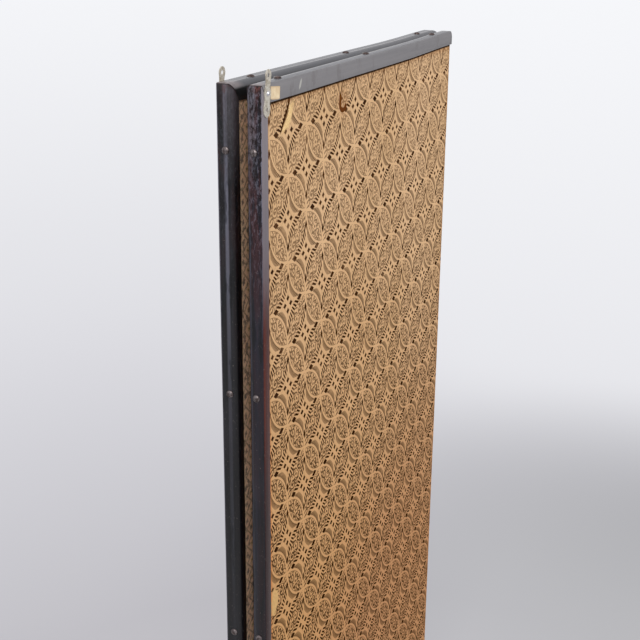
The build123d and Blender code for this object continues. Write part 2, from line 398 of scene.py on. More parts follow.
# %% Picking edges and shaping with modifiers
def along(edge, axis, least=0.0):
    """True for an edge that runs along the axis (0, 1 or 2) and is at least that long."""
    run = edge.verts[1].co - edge.verts[0].co
    return abs(run[axis]) > 0.999 * run.length and run.length > least


def middle(edge):
    return (edge.verts[0].co + edge.verts[1].co) / 2


def add_and_apply(piece, kind, **settings):
    activate(piece)
    modifier = piece.modifiers.new(kind.lower(), kind)
    for key, value in settings.items():
        setattr(modifier, key, value)
    bpy.ops.object.modifier_apply(modifier=modifier.name)


def clouds(name, scale, depth):
    texture = bpy.data.textures.new(name, "CLOUDS")
    texture.noise_scale, texture.noise_depth = scale, depth
    return texture


def displace(piece, texture, strength, mid_level, direction="NORMAL"):
    """Moves the surface in and out by a texture on the piece's own place."""
    add_and_apply(
        piece,
        "DISPLACE",
        texture=texture,
        texture_coords="LOCAL",
        direction=direction,
        strength=strength,
        mid_level=mid_level,
    )


def pull(piece, wanted, move, reach):
    """Moves the points that the test wants, and those within reach less and less."""
    pick(piece, "verts", wanted)
    bpy.ops.transform.translate(
        value=move,
        use_proportional_edit=True,
        proportional_edit_falloff="SMOOTH",
        proportional_size=reach,
    )
    done_editing()


def cut(piece, other, operation="DIFFERENCE"):
    """Cuts piece by other, or joins or overlaps the two, and removes other."""
    add_and_apply(piece, "BOOLEAN", operation=operation, object=other, solver="EXACT")
    bpy.data.objects.remove(other)


# %% Closing a piece and copying it to the rear leaf
def facing_out(piece, angle=35):
    """Makes all faces point outwards and smooths the shading over the softer edges."""
    activate(piece)
    bpy.ops.object.mode_set(mode="EDIT")
    bpy.ops.mesh.select_all(action="SELECT")
    bpy.ops.mesh.remove_doubles(threshold=0.002 * MM)
    bpy.ops.mesh.normals_make_consistent(inside=False)
    done_editing()
    bpy.ops.object.shade_smooth_by_angle(angle=math.radians(angle))
    return piece


def keep_place(piece):
    """Stores each point's place on the near leaf as the attribute leaf_place."""
    held = piece.data.attributes.new("leaf_place", "FLOAT_VECTOR", "POINT")
    for value, vertex in zip(held.data, piece.data.vertices):
        value.vector = vertex.co


def on_rear(piece):
    """Moves a piece made on the near leaf to the rear leaf, mirrored about the fold."""
    piece.data.transform(TO_REAR)
    piece.data.flip_normals()
    return piece


def rear_copy(piece, name):
    """A copy of a near-leaf piece, in its place on the rear leaf."""
    activate(piece)
    bpy.ops.object.duplicate()
    return on_rear(named(bpy.context.object, name))


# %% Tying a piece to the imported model
def stands_for(piece, finish, body, node):
    """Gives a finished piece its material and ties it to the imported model."""
    piece.data.materials.clear()
    piece.data.materials.append(finish)
    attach(piece, body)
    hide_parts(node)
    print(piece.name, len(piece.data.polygons), "faces, stands for", node)


def on_both_leaves(piece, base, near_finish, rear_finish):
    """Ties a near-leaf piece and its rear copy to the nodes near_base and rear_base."""
    keep_place(piece)
    twin = rear_copy(piece, "rear_" + base + "_visual")
    named(piece, "near_" + base + "_visual")
    stands_for(piece, near_finish, "near_leaf", "near_" + base)
    stands_for(twin, rear_finish, "rear_leaf", "rear_" + base)
    return piece, twin


# %% [markdown]
# ## Dark lacquer
#
# The frame is wood under many coats of nearly black lacquer. On an old screen the
# lacquer has a violet-brown tint, rubs through to red-brown at the arrises and the
# mitres, picks up fine scratches, and goes dull and grey where dust has settled on the
# rails and along the upper end of the back faces. Part of that grey is painted reflection
# of the bright room. Painted highlights run along the roundings, and painted shade darkens
# the side by the gap between the leaves, the lower stiles and the rail ends at the fold.
# The zones are written as steps on the place along the leaf, and the streaks as noise
# that is stretched along the piece.


# %% Lacquer finish
def stretched(run, along_run, across):
    """Noise scales for a piece that runs along the axis run, where the noise is drawn out."""
    return [along_run if axis == run else across for axis in range(3)]


def lacquer_noises(finish, place, run, seed):
    """Streaks and grain along the piece, and patches that are a little longer than wide."""
    streaks = finish.noise(place, stretched(run, 2.2, 90.0), 4.0, 0.6, shift=(seed, 0, seed))
    patches = finish.noise(place, (24, 24, 12), 5.0, 0.7, shift=(0, seed, 0))
    grain = finish.noise(place, stretched(run, 19.8, 810.0), 2.0, shift=(seed, 2, 0))
    bloom = finish.noise(place, stretched(run, 5.0, 16.0), 3.0, 0.55, shift=(seed, seed, 0))
    return streaks, patches, grain, bloom


# %% Seam, scratches and spots
def seam_distance(x, z):
    """Distance from the top mitre's plane: positive on the stile's side of it."""
    length = math.hypot(RAIL_WIDTH, STILE_WIDTH)
    return ((LEAF_HEIGHT - z) * STILE_WIDTH - (x - FREE) * RAIL_WIDTH) / length


def scratches_and_spots(finish, place, seed, patches):
    turned = finish.node(
        "ShaderNodeVectorRotate",
        {"rotation_type": "EULER_XYZ"},
        {"Vector": place, "Rotation": (0.35, 0.5, 0.8)},
    )
    lines = finish.noise(turned, (900, 900, 25), 1.0, shift=(seed, seed, 0))
    spots = finish.node("ShaderNodeTexVoronoi", inputs={"Vector": place, "Scale": 120.0})
    return (lines.above(0.73, 0.02) * 0.35).most(spots.below(0.05, 0.03) * patches.above(0.55, 0.1))


def near_spot(x, z, spot, wobble=None):
    """Distance from a spot's middle in units of its half-width and half-height."""
    at_x, at_z, wide, tall = spot
    across, up = (x - at_x) / wide, (z - at_z) / tall
    reach = (across * across + up * up).root()
    return reach if wobble is None else reach + wobble


# %% Lacquer by the place on a leaf
# A spot is the x and height of its middle, its half-width and its half-height.
SCRAPE = (-266.25 * MM, 1488.5 * MM, 3.5 * MM, 7.5 * MM)


def lacquer(name, seed, run, tint, glint=(0.0, 1.0), worn_head=0.0):
    """run is 0 for a rail, whose grain runs along X, and 2 for a stile along Z."""
    finish = Finish(name)
    place = finish.leaf_place()
    x, y, z = finish.parts(place)
    streaks, patches, grain, bloom = lacquer_noises(finish, place, run, seed)
    fine = finish.noise(place, 2600.0, 2.0)
    on_back = y.below(BACK + 0.5 * MM, 0.5 * MM)
    seam = seam_distance(x, z)
    colour = finish.mix(streaks.above(0.5, 0.5), (10, 9, 11), tint)
    bloomed = bloom.above(0.56, 0.22) * (0.08 + 0.12 * worn_head)
    colour = finish.mix(bloomed, colour, (84, 80, 92))
    if run == 2:
        # Painted shade darkens the side next to the core, which faces the shaded gap between the
        # leaves. A painted highlight line runs where the front begins to round. The back arris
        # carries a line that is partly rubbed wear and partly painted highlight.
        inner = (y - FRONT + (x - FREE) * 0.9).above(-2 * MM, 7 * MM)
        # A painted highlight along the front rounding, fading lower down the stile.
        line = y.near(glint[0], glint[1], glint[1]) * streaks.above(0.40, 0.3)
        line = line * (0.25 + 0.75 * z.above(1.2, 0.35).most(worn_head * 0.5))
        line = line * z.above(0.85, 0.3).most(worn_head)
        arris_wear_and_highlight = (x - FREE + y - BACK).below(1.3 * MM, 0.8 * MM)
        arris_wear_and_highlight = arris_wear_and_highlight * (z.above(1.25, 0.3) * worn_head).most(0.9 - worn_head)
        # Near the head the coat is worn: paler all over, brown where it is through.
        blotch = finish.noise(place, (160, 90, 14), 4.0, 0.7, shift=(seed, 4, 1))
        rusty = blotch.above(0.52, 0.14) * z.above(1.2, 0.3).most(0.3)
        head = z.above(LEAF_HEIGHT - 85 * MM, 110 * MM)
        spots = finish.noise(place, (420, 420, 150), 3.0, 0.6, shift=(seed, 0, 7))
        chips = z.above(1.30, 0.3) * worn_head
        thin = patches + seam.below(6 * MM, 8 * MM) * 0.06 + (spots - 0.5) * 0.35
        through = thin.above(0.60, 0.06) * head
        colour = finish.layers(
            colour,
            # painted shade on the side that faces the gap between the leaves
            (inner * 0.8, (6, 5, 6)),
            # painted highlight line, and the back arris, partly worn and partly painted highlight
            ((line * 0.38).most(arris_wear_and_highlight * 0.6), (150, 150, 168)),
            (rusty * 0.55 * worn_head, (74, 38, 36)),
            (blotch.below(0.42, 0.08) * 0.6, (8, 7, 9)),
            (head * y.above(-2 * MM, 4 * MM) * 0.22 * worn_head, (128, 124, 134)),
            (head * patches * y.above(-3 * MM, 5 * MM) * 0.36, (122, 116, 122)),
            (through * (0.25 + 0.6 * worn_head), (92, 50, 44)),
            (spots.above(0.55, 0.04) * chips * 0.9, (26, 14, 14)),
            (spots.below(0.42, 0.05) * chips * 0.3, (132, 128, 142)),
            # painted shade: the stile darkens towards the bottom, where less light reaches it
            (z.below(1.2, 0.5) * 0.4, (14, 10, 14)),
        )
        # The back face is pale above, partly dust and partly painted reflection of the bright room,
        # and plain red-brown below, darkest lowest.
        low = (z + (patches - 0.5) * 0.05).below(1.25, 0.13)
        deep = finish.mix(streaks.above(0.48, 0.3), (32, 13, 13), (78, 28, 18))
        deep = finish.mix(z.below(0.98, 0.25) * 0.75, deep, (20, 13, 16))
        pale = finish.mix(streaks, (110, 105, 110), (138, 130, 136))
        pale = finish.mix(z.below(1.38, 0.16) * 0.5, pale, (84, 74, 80))
        colour = finish.mix(on_back, colour, finish.mix(low, pale, deep))
        dust_and_sheen = on_back * (1.0 - low)
        gloss = (1.0 - on_back) * 0.8 + dust_and_sheen * 0.3
    else:
        on_top = (z - LEAF_HEIGHT + (y - BACK) * 0.12).above(-3.5 * MM, 5 * MM)
        # The top and the back face are grey, partly from dust and partly as painted reflection of
        # the bright room.
        top_dust_and_sheen = finish.mix(streaks, (58, 59, 63), (80, 79, 84))
        # Handling has left the end at the fold rounder; painted shade darkens the back face toward
        # it.
        grey = finish.layers(
            finish.mix(streaks, (106, 105, 108), (134, 131, 133)),
            (patches.above(0.6, 0.1) * 0.35, (94, 88, 88)),
            (x.above(FOLD - 5 * MM, 9 * MM) * 0.55, (70, 68, 70)),
        )
        # A painted highlight runs along the crest of the front rounding on top.
        painted_crest_highlight = y.near(FRONT - OUTER_ROUND, 1.2 * MM, 1.2 * MM) * streaks.above(0.4, 0.3)
        near_seam = seam.above(-16 * MM, 22 * MM) * patches.above(0.42, 0.2)
        colour = finish.layers(
            colour,
            (on_top, top_dust_and_sheen),
            (on_back, grey),
            (painted_crest_highlight * on_top * 0.5, (176, 172, 172)),
            (near_seam * on_top * (1.0 - on_back) * 0.7, (136, 124, 124)),
        )
        if worn_head:
            scrape = near_spot(x - (z - SCRAPE[1]) * 0.5, z, SCRAPE)
            colour = finish.mix(scrape.below(0.8, 0.5) * 0.55, colour, (196, 194, 186))
        dust_and_sheen = on_back.most(on_top * 0.5)
        gloss = 0.75 - on_back * 0.5
    marks = scratches_and_spots(finish, place, seed, patches)
    colour = finish.layers(
        colour,
        (seam.near(0.0, 0.7 * MM, 0.5 * MM) * 0.85, (34, 22, 22)),
        (marks * 0.5, (170, 156, 148)),
    )
    roughness = 0.30 + dust_and_sheen * 0.22 + grain * 0.12
    height = grain * 0.35 + fine * 0.12 + patches * 0.5 - marks * 0.6
    return finish.surface(
        Base_Color=colour,
        Roughness=roughness,
        Specular_IOR_Level=0.12,
        Coat_Weight=gloss * 0.5,
        Coat_Roughness=0.14,
        Normal=finish.bump(height, 0.25 * MM, 0.35),
    )


# %% The four lacquers
near_stile_lacquer = lacquer(
    "near_stile_lacquer", 3.0, 2, (40, 39, 52), (FRONT - 3.5 * MM, 1.7 * MM), 1.0
)
rear_stile_lacquer = lacquer(
    "rear_stile_lacquer", 11.0, 2, (32, 34, 37), (FRONT - 11 * MM, 2.4 * MM), 0.2
)
near_rail_lacquer = lacquer("near_rail_lacquer", 6.0, 0, (40, 36, 38), worn_head=1.0)
rear_rail_lacquer = lacquer("rear_rail_lacquer", 17.0, 0, (36, 36, 36))
print("lacquers", near_stile_lacquer.name, rear_rail_lacquer.name)

# %% [markdown]
# ## The outer frame
#
# A frame member is a planed batten with a flat back and a rounded front. It could be
# swept along a curve, but it is straight, so a block with bevelled long edges gives the
# same section and keeps the ends easy to cut. The long edges are divided first, so that
# a small soft displacement can leave the hand-planed unevenness that makes reflections
# wander. Each end is then bisected on its mitre.

# %% Frame members
planing = clouds("hand_planing", 0.11, 1)
UNEVENNESS = 0.5 * MM
JOINT = 0.06 * MM


def round_edge(piece, axis, at, radius, segments):
    """Rounds the long edge that passes through the point at."""
    others = [i for i in range(3) if i != axis]

    def wanted(edge):
        spot = middle(edge)
        return along(edge, axis, 0.05) and all(abs(spot[i] - at[i]) < 0.1 * MM for i in others)

    pick(piece, "edges", wanted)
    bpy.ops.mesh.bevel(offset=radius, segments=segments, profile=0.5, affect="EDGES")
    done_editing()


def divide_length(piece, axis, cuts):
    pick(piece, "edges", lambda edge: along(edge, axis, 0.2))
    bpy.ops.mesh.subdivide(number_cuts=cuts)
    done_editing()


def saw(piece, at, normal):
    """Cuts the piece by a plane and keeps the side that the normal points away from."""
    pick(piece, "faces", lambda face: True)
    bpy.ops.mesh.bisect(plane_co=at, plane_no=normal, use_fill=True, clear_outer=True)
    done_editing()


def leaf_corners_round(piece):
    """Trims a member by the leaf's outline: 4 mm round corners, rubbed rounder at the fold."""
    outline = block("outline", (FREE, -0.03, 0), (FOLD, 0.03, LEAF_HEIGHT))
    for side, radius in ((FREE, 4 * MM), (FOLD, 12 * MM)):
        pick(outline, "edges", lambda e: along(e, 1) and abs(middle(e).x - side) < 1 * MM)
        bpy.ops.mesh.bevel(offset=radius, segments=8, profile=0.5, affect="EDGES")
        done_editing()
    cut(piece, outline, "INTERSECT")


# %% The bow of the top rail
BOW, BOW_REACH, BOW_DEPTH = 2.8 * MM, 240 * MM, 26 * MM
BOW_CREST = FOLD - 5 * MM


def bow_up(piece):
    """Lifts the upper fold corner a little, as the long rail has warped upwards there."""
    top = max(v.co.z for v in piece.data.vertices)
    pull(
        piece,
        lambda v: v.co.x > BOW_CREST and v.co.z > top - BOW_DEPTH,
        (0, 0, BOW),
        BOW_REACH,
    )
    return piece


def bow_at(x):
    """How far the top rail has risen at x."""
    share = max(0.0, 1 - max(0.0, BOW_CREST - x) / BOW_REACH)
    return BOW * share * share * (3 - 2 * share)


def bow_field(x):
    """The same rise as bow_at, for a finish."""
    return x.finish.step(x, BOW_CREST - BOW_REACH, BOW_CREST, 0.0, BOW)


# %% Stile and rails
MITRE = Vector((RAIL_WIDTH, 0, STILE_WIDTH)).normalized()
TOP_CORNER = Vector((FREE, 0, LEAF_HEIGHT))
FOOT_CORNER = Vector((FREE, 0, 0))


def make_stile():
    piece = block("stile", (FREE, BACK, 0), (FREE + STILE_WIDTH, FRONT, LEAF_HEIGHT))
    round_edge(piece, 2, (FREE, FRONT, 0), OUTER_ROUND, 12)
    round_edge(piece, 2, (FREE + STILE_WIDTH, FRONT, 0), 2 * MM, 4)
    round_edge(piece, 2, (FREE, BACK, 0), 0.6 * MM, 3)
    round_edge(piece, 2, (FREE + STILE_WIDTH, BACK, 0), 0.5 * MM, 2)
    divide_length(piece, 2, 90)
    displace(piece, planing, UNEVENNESS, 0.5)
    saw(piece, TOP_CORNER, MITRE)
    saw(piece, FOOT_CORNER, Vector((MITRE.x, 0, -MITRE.z)))
    leaf_corners_round(piece)
    return facing_out(piece)


def make_rail(name, base, top, mitre_at, mitre_normal):
    """base and top are the heights of its outer and inner long sides."""
    low, high = min(base, top), max(base, top)
    piece = block(name, (FREE, BACK, low), (FOLD, FRONT, high))
    round_edge(piece, 0, (0, FRONT, base), OUTER_ROUND, 12)
    round_edge(piece, 0, (0, FRONT, top), 2 * MM, 4)
    round_edge(piece, 0, (0, BACK, base), 0.6 * MM, 3)
    round_edge(piece, 0, (0, BACK, top), 0.5 * MM, 2)
    divide_length(piece, 0, 60)
    displace(piece, planing, UNEVENNESS, 0.5)
    saw(piece, mitre_at + mitre_normal * -JOINT, mitre_normal)
    leaf_corners_round(piece)
    return facing_out(piece)


stile = make_stile()
top_rail = make_rail("top_rail", LEAF_HEIGHT, LEAF_HEIGHT - RAIL_WIDTH, TOP_CORNER, -MITRE)
bow_up(top_rail)
bottom_rail = make_rail("bottom_rail", 0, RAIL_WIDTH, FOOT_CORNER, Vector((-MITRE.x, 0, MITRE.z)))
on_both_leaves(stile, "stile", near_stile_lacquer, rear_stile_lacquer)
on_both_leaves(top_rail, "top_rail", near_rail_lacquer, rear_rail_lacquer)
on_both_leaves(bottom_rail, "bottom_rail", near_rail_lacquer, rear_rail_lacquer)

# %% [markdown]
# ## The printed back paper
#
# The back is covered with paper printed from a block with shippo-tsunagi, the old
# pattern of circles that each share a quarter of their outline with four neighbours.
# Every circle is 57 mm in radius. Between the circles stand four-pointed stars, and
# each petal where two circles overlap is filled with a fine scroll. The whole repeat
# is written from distances: in coordinates turned by 45 degrees the crossings lie on
# a square grid, and a point's distance from the next star's centre tells which band
# of the drawing it is in.

# %% Print sizes
TEAR_X, TEAR_HEIGHT = -298.5 * MM, 1451.5 * MM  # the middle of the tear below the rail
TEAR_LEAN = math.radians(36)
FLAP_WIDTH, FLAP_LENGTH, FLAP_THICKNESS = 9 * MM, 50 * MM, 0.3 * MM
PAPER_FRONT = 8.25 * MM
PAPER_BACK = -PAPER_FRONT
PRINT_RADIUS = 56.7
PETAL_FILL = 53.2
DASH_BAND = (55.4, 65.6)
CORNER_MARK = 36.4
CRESCENT_RIM = 59.2
INNER_LINE = 70.6
STAR_X, STAR_HEIGHT = -239.2 * MM, 1434.7 * MM  # the middle of one star
CELL_WIDTH, CELL_HEIGHT = 56.83 * MM, 56.59 * MM  # the damp print has shrunk unevenly
PRINT_SLANT = 0.0099
RUBBED_PATCH = (-346.2 * MM, 793 * MM, 13 * MM, 24 * MM)
# The tear's two spots are placed across from the leant line of the tear.
TEAR_SCAR = (1 * MM, TEAR_HEIGHT, 11 * MM, 21.5 * MM)
TEAR_SLIT = (-9.2 * MM, 1455 * MM, 3 * MM, 24 * MM)
HOOK_X, HOOK_HEIGHT = -115.5 * MM, 1444.5 * MM
HOOK_SPUR = (-126.2 * MM, 1447.5 * MM, 4.2 * MM, 11 * MM)
HOOK_HALO = (-117 * MM, 1446 * MM, 26 * MM, 26 * MM)
TONED_LEFT, TONED_RIGHT = -359 * MM, 375.5 * MM
TONED_LOW, TONED_HIGH = 23.5 * MM, 1476.5 * MM


def printed_lattice(finish, place):
    """The place in the print: cell coordinates (across and down) turned by 45 degrees."""
    x, _, z = finish.parts(place)
    slack = finish.noise(place, 5.0, 1.0)
    down = (STAR_HEIGHT - z) / CELL_HEIGHT + (slack - 0.5) * 0.07
    across = (x - STAR_X) / CELL_WIDTH + down * PRINT_SLANT + (slack - 0.5) * 0.05
    return (across + down) * 0.5, (down - across) * 0.5


def wrapped(value):
    """The place within a cell, from -0.5 to 0.5 about its middle."""
    return value.math("FRACT") - 0.5


# %% The scroll in a petal
def petal_scroll(finish, length, width, seed):
    """Scrolls, leaves and ribs in a petal: 1 where the drawing is dark."""
    level, upright = (length - width) * 0.71, (length + width) * 0.71
    spot = finish.vector(level * 0.42, upright, seed)
    swirl = finish.noise(spot, 0.12, 1.0, 0.4, 0.3)
    stroke = ((swirl * 3.6).math("FRACT") - 0.5).abs().below(0.24, 0.14)
    # Two curls, one in each half of the petal, with ribs fanning out round them.
    along = length.abs() - 15.0 + (swirl - 0.5) * 9.0
    reach = (along * along + width * width).root()
    turn = width.math("ARCTAN2", along)
    curl = ((reach / 5.6 + turn / math.tau).math("FRACT") - 0.5).abs().below(0.23, 0.14)
    ribs = ((turn * 2.2).math("FRACT") - 0.5).abs().below(0.2, 0.14)
    fan = reach.near(14.5, 4.4, 0.8)
    drawn = (curl * reach.below(9.0, 0.8)).most(ribs * fan)
    drawn = drawn.most(stroke * reach.above(9.2, 0.6) * (1.0 - fan))
    buds = finish.node("ShaderNodeTexVoronoi", inputs={"Vector": spot, "Scale": 0.22})
    bud = buds.below(0.34, 0.10)
    # A small five-petalled flower in the middle of the petal.
    reach = (length * length + width * width).root()
    outline = 5.4 + (length.math("ARCTAN2", width) * 5.0).sine() * 1.4
    inside = (reach - outline).below(0.0, 0.5)
    ring = (reach - outline).near(1.1, 0.8, 0.5)
    heart = reach.below(2.2, 0.6)
    return (drawn.most(bud) * (1.0 - inside)).most(ring).most(heart)


# %% The whole print
def printed_marks(finish, place):
    """1 where the print is dark and 0 on the pale ground."""
    s, t = printed_lattice(finish, place)
    fs, ft = wrapped(s), wrapped(t)
    pitch = PRINT_RADIUS * math.sqrt(2)
    a, b = fs.abs(), ft.abs()

    def from_neighbour(near, far):
        other = 1.0 - far
        return (near * near + other * other).root() * pitch

    to_falling = from_neighbour(a, b)
    to_rising = from_neighbour(b, a)

    # Bands along a star's four arcs: dashes on two of them, close hatching on two.
    def band(distance):
        return distance.near(sum(DASH_BAND) / 2, (DASH_BAND[1] - DASH_BAND[0]) / 2, 0.9)

    def fan(along_arc, to_arc, reach):
        """The angle of a ray that fans out from behind the star's middle."""
        return along_arc.math("ARCTAN2", to_arc + reach)

    dash_turn = fan(ft, a, 0.2) / 0.136
    dash = wrapped(dash_turn).abs().above(0.215, 0.12) * dash_turn.abs().below(3.45, 0.2)
    dashes = dash * band(to_rising)
    hatch_turn = fan(fs, b, 0.2) / 0.09
    hatch = 0.42 + 0.58 * wrapped(hatch_turn).abs().above(0.2, 0.25)
    past_rim = (to_falling - CRESCENT_RIM).most(0.0)
    taper = to_falling.near(CRESCENT_RIM + 1.9, 4.0, 0.9)
    taper = taper * (a * 80 + past_rim * 2.1).below(21.0, 3.0)
    crescents = hatch * taper * (0.98 - (to_falling - 57.5) * 0.05)

    # Lozenges beside each crossing, slits above and below it, four dots in each star.
    dp = (fs - ft) * PRINT_RADIUS
    dq = (fs + ft) * PRINT_RADIUS
    ap, aq = dp.abs(), dq.abs()
    beside = ap - CORNER_MARK
    lozenge = (beside.abs() / 8.6 + (dq + beside * 0.12).abs() / 4.9).below(0.94, 0.14)
    slit = ((aq - CORNER_MARK).abs() / 7.8 + ap / 4.4).below(0.94, 0.2)
    side_dots = ((ap - 8.9).abs() / 5.4 + aq / 4.2).below(0.92, 0.2)
    end_dots = ((aq - 8.6).abs() / 4.8 + ap / 4.6).below(0.92, 0.2)

    # Petals: scrolls inside, and a thin line where the rim begins.
    falling_fill = to_falling.below(PETAL_FILL, 0.8)
    rising_fill = to_rising.below(PETAL_FILL + 2.2, 0.8)
    falling = petal_scroll(finish, fs * pitch, (wrapped(t + 0.5)) * pitch, 3.0)
    rising = petal_scroll(finish, ft * pitch, (wrapped(s + 0.5)) * pitch, 19.0)
    inked = finish.parts(place)[2].below(1.2, 0.7) * 0.3
    petals = (falling * falling_fill * (inked + 0.60)).most(rising * rising_fill * (inked + 0.62))
    rims = to_falling.near(PETAL_FILL, 0.5, 0.5) * 0.6
    inner_line = to_falling.near(INNER_LINE, 0.4, 0.5)
    inner_line = inner_line.most(to_rising.near(INNER_LINE, 0.4, 0.5)) * 0.28
    marks = dashes.most(crescents).most(lozenge).most(slit).most(side_dots).most(end_dots)
    return marks.most(petals).most(rims).most(inner_line)


# %% Damage and stains
def torn_and_stained(finish, colour, at, fibres, mottle):
    """The near sheet's own marks: a rubbed patch, the tear with its flap, and a stain."""
    x, y, z = at

    def spot(across, shape, wobble):
        return near_spot(across, z, shape, (mottle - 0.5) * wobble)

    # The tear bares a paler layer beside a dark slit, and its flap has the same tone.
    lean = x - TEAR_X + (TEAR_HEIGHT - z) * math.tan(TEAR_LEAN)
    scar_tone = finish.mix(fibres.above(0.5, 0.3), (196, 150, 98), (226, 200, 152))
    flap_tone = finish.mix(fibres.above(0.45, 0.3), (190, 150, 98), (226, 196, 146))
    # The brown stain is a ring that is open on one side, with a spur.
    across, up = x - HOOK_X, z - HOOK_HEIGHT
    ring = (across * across * 0.8 + up * up).root()
    hook = ring.near(9.6 * MM, 3.4 * MM, 1.4 * MM) * (across * 0.8 + up).below(6 * MM, 3 * MM)
    stain = hook.most(spot(x, HOOK_SPUR, 0.8).below(0.9, 0.4)) * (0.8 + mottle * 0.4)
    return finish.layers(
        colour,
        (spot(x, RUBBED_PATCH, 1.4).below(0.9, 0.3) * 0.9, (205, 166, 112)),
        (spot(lean, TEAR_SCAR, 1.5).below(0.85, 0.25) * 0.9, scar_tone),
        (spot(lean, TEAR_SLIT, 0.6).below(0.9, 0.3), (62, 38, 20)),
        (y.below(PAPER_BACK - 0.9 * MM, 0.4 * MM), flap_tone),
        (stain, (76, 36, 14)),
        (spot(x, HOOK_HALO, 0.6).below(0.7, 0.8) * 0.22, (150, 96, 52)),
    )


# %% Printed paper
def printed_paper(name, worn):
    finish = Finish(name)
    place = finish.leaf_place()
    x, y, z = finish.parts(place)
    marks = printed_marks(finish, place)
    fibres = finish.noise(place, (700, 700, 2600), 3.0, 0.6)
    cloud = finish.noise(place, 3.2, 4.0, 0.6)
    mottle = finish.noise(place, 60.0, 4.0, 0.6)
    ground = finish.mix(cloud.above(0.5, 0.5), (214, 177, 138), (200, 162, 120))
    ground = finish.mix((mottle - 0.35) * 0.6, ground, (224, 189, 148))
    golden = finish.mix((x - z * 0.9).above(-0.68, 0.5), (193, 147, 99), (182, 134, 93))
    ground = finish.mix((z + x * 0.35).below(0.98, 0.8) * 0.95, ground, golden)
    ink = finish.mix(mottle.above(0.5, 0.3), (52, 32, 20), (84, 54, 32))
    ink = finish.mix(z.below(1.15, 0.7) * 0.85, ink, (40, 20, 6))
    worn_print = marks * (1.0 - (mottle.above(0.62, 0.12)) * 0.2)
    colour = finish.mix(worn_print, ground, ink)
    rough = 0.62 + marks * 0.2
    height = fibres * 0.25 - marks * 0.8 + mottle * 0.3
    if worn:
        colour = torn_and_stained(finish, colour, (x, y, z), fibres, mottle)
    # A toned edge all round, where hands and damp have reached, and painted shadow where the
    # stile and the top rail shade the sheet.
    side = (x - TONED_LEFT).least(TONED_RIGHT - x).least(TONED_HIGH - z).least(z - TONED_LOW)
    toned = (side + (mottle - 0.5) * (6 * MM)).below(5 * MM, 8 * MM)
    warm = x.below(-352 * MM, 8 * MM) * z.below(1.05, 0.3) * (1.0 - marks)
    to_rail = bow_field(x) - z + (LEAF_HEIGHT - RAIL_WIDTH + 0.2 * MM)
    painted_frame_shadow = (x - (FREE + STILE_WIDTH)).least(to_rail).below(3.6 * MM, 1.6 * MM)
    colour = finish.layers(
        colour,
        (toned * 0.4, (150, 100, 58)),
        (warm * 0.7, (208, 128, 70)),
        # painted shadow cast by the frame on the sheet
        (painted_frame_shadow * 0.95, (34, 22, 16)),
    )
    normal = finish.bump(height, 0.12 * MM, 0.5)
    return finish.surface(
        Base_Color=colour, Roughness=rough, Specular_IOR_Level=0.0, Normal=normal
    )


near_print = printed_paper("near_back_print", True)
rear_print = printed_paper("rear_back_print", False)
print("prints", near_print.name, rear_print.name)

# %% [markdown]
# ## The sheets
#
# A pasted sheet is never quite flat. It dips a little between the laths and stands
# a hair proud over them, so the sheet is a grid with a modifier for the soft cockling,
# and a solidify modifier for its thickness.
#
# Below the near leaf's top rail the sheet is torn, and a narrow tongue of it hangs
# loose. The tongue is a small grid of its own. Proportional moves draw it out and roll
# it over, then it is leant along the tear and joined to the sheet it hangs from.

# %% Papers
CORE_LEFT = FREE + STILE_WIDTH + 0.05 * MM
CORE_RIGHT = FOLD - 1.6 * MM
CORE_LOW = RAIL_WIDTH + 0.05 * MM
CORE_HIGH = LEAF_HEIGHT - RAIL_WIDTH - 0.05 * MM
PAPER_THICKNESS = 0.4 * MM
BORDER = 36 * MM
cockling = clouds("cockling", 0.16, 2)
cockling_fine = clouds("cockling_fine", 0.006, 1)


def sheet_of_paper(name, low, high, y, cells, strength):
    """A sheet in the XZ plane from corner low to corner high, facing away from the core."""
    width, height = high[0] - low[0], high[1] - low[1]
    deselect_all()
    bpy.ops.mesh.primitive_grid_add(
        x_subdivisions=cells[0],
        y_subdivisions=cells[1],
        size=1,
        location=((low[0] + high[0]) / 2, y, (low[1] + high[1]) / 2),
        rotation=(math.radians(90 if y < 0 else -90), 0, 0),
    )
    piece = named(bpy.context.object, name)
    piece.scale = (width, height, 1)
    settle(piece)
    outwards = -1 if y < 0 else 1
    displace(piece, cockling, strength * outwards, 0.0, "Y")
    add_and_apply(piece, "SOLIDIFY", thickness=PAPER_THICKNESS, offset=-1.0)
    return facing_out(piece, 60)


